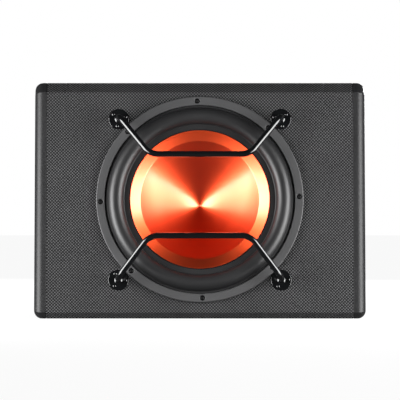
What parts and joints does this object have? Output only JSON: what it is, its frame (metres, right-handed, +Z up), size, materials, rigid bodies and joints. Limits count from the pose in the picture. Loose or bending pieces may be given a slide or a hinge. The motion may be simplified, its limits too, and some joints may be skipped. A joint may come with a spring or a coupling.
{
  "type": "powered car subwoofer",
  "caption": "Wedge-shaped powered car subwoofer with a dished metal driver behind guard bars and an amplifier in the back.",
  "frame": {"origin": "on the resting plane, under the centre of the bounding box", "axes": "+Z up; -Y out of the driver's side, whose baffle leans back 8 degrees; +X to the right as seen from the front"},
  "size_m": [0.487, 0.3832, 0.347],
  "materials": {
    "side_vinyl": "black grained vinyl over board",
    "woven_vinyl": "charcoal woven-pattern vinyl",
    "fibreboard": "raw medium-density fibreboard",
    "fleece": "white polyester fleece",
    "satin_black_trim": "satin black moulding",
    "gloss_black_bar": "gloss black paint on steel",
    "black_steel": "satin black paint",
    "black_rubber": "smooth matt rubber",
    "orange_metal": "spun aluminium in a copper-orange lacquer",
    "pressed_paper": "black pressed paper",
    "bare_aluminium": "satin",
    "copper_wire": "enamelled copper winding",
    "spider_cloth": "resin-dipped cotton",
    "zinc_steel": "zinc-plated",
    "ferrite": "ground ferrite",
    "black_plastic": "fine-textured moulding",
    "green_board": "solder mask on glass-fibre board",
    "red_plastic": "moulded",
    "white_plastic": "moulded",
    "yellow_tape": "polyester tape over windings",
    "blue_lens": "clear coloured lens"
  },
  "bodies": {
    "cabinet_body": {"left_side_panel": "side_vinyl", "right_side_panel": "side_vinyl", "woven_covering": "woven_vinyl", "baffle_board": "fibreboard", "top_board": "fibreboard", "bottom_board": "fibreboard", "back_board": "fibreboard", "acoustic_wadding": "fleece", "upper_guard_bar": "gloss_black_bar", "lower_guard_bar": "gloss_black_bar", "upper_left_guard_foot": "gloss_black_bar", "upper_right_guard_foot": "gloss_black_bar", "lower_left_guard_foot": "gloss_black_bar", "lower_right_guard_foot": "gloss_black_bar", "trim_ring": "satin_black_trim", "basket": "black_steel", "surround": "black_rubber", "spider": "spider_cloth", "top_plate": "zinc_steel", "magnet": "ferrite", "yoke": "zinc_steel", "magnet_boot": "black_rubber", "driver_terminal": "black_plastic", "lead_positive": "red_plastic", "lead_negative": "black_plastic", "driver_screw_1": "black_steel", "driver_screw_2": "black_steel", "driver_screw_3": "black_steel", "driver_screw_4": "black_steel", "driver_screw_5": "black_steel", "driver_screw_6": "black_steel", "driver_screw_7": "black_steel", "driver_screw_8": "black_steel", "amp_bezel": "black_plastic", "control_plate": "bare_aluminium", "heatsink": "black_steel", "amp_housing": "black_plastic", "circuit_board": "green_board", "transformer": "yellow_tape", "capacitor": "black_plastic", "power_terminal": "black_plastic", "fuse_holder": "black_plastic", "fuse": "red_plastic", "phono_socket_left": "white_plastic", "phono_socket_right": "red_plastic", "speaker_level_socket": "black_plastic", "remote_socket": "black_plastic", "power_lamp": "blue_lens", "amp_screw_1": "black_steel", "amp_screw_2": "black_steel", "amp_screw_3": "black_steel", "amp_screw_4": "black_steel"},
    "cone_body": {"cone": "pressed_paper", "dust_dish": "orange_metal", "coil_former": "bare_aluminium", "voice_coil": "copper_wire"},
    "gain_knob_body": {"gain_knob": "black_plastic"},
    "crossover_knob_body": {"crossover_knob": "black_plastic"},
    "bass_boost_knob_body": {"bass_boost_knob": "black_plastic"},
    "phase_switch_body": {"phase_switch": "black_plastic"}
  },
  "joints": [
    {"name": "cone_travel", "type": "slide", "parent": "cabinet_body", "child": "cone_body", "axis": [0, -0.9903, 0.1392], "range_m": [-0.01, 0.01], "stiffness_N_per_m": 3500, "deforming": ["surround", "spider"]},
    {"name": "gain_knob_turn", "type": "hinge", "parent": "cabinet_body", "child": "gain_knob_body", "pos_m": [-0.014, 0.175, 0.2195], "axis": [0, 1, 0], "range_deg": [-140, 140]},
    {"name": "crossover_knob_turn", "type": "hinge", "parent": "cabinet_body", "child": "crossover_knob_body", "pos_m": [-0.044, 0.175, 0.2195], "axis": [0, 1, 0], "range_deg": [-140, 140]},
    {"name": "bass_boost_knob_turn", "type": "hinge", "parent": "cabinet_body", "child": "bass_boost_knob_body", "pos_m": [-0.074, 0.175, 0.2195], "axis": [0, 1, 0], "range_deg": [-140, 140]},
    {"name": "phase_switch_slide", "type": "slide", "parent": "cabinet_body", "child": "phase_switch_body", "axis": [0, 0, 1], "range_m": [0, 0.004]}
  ]
}
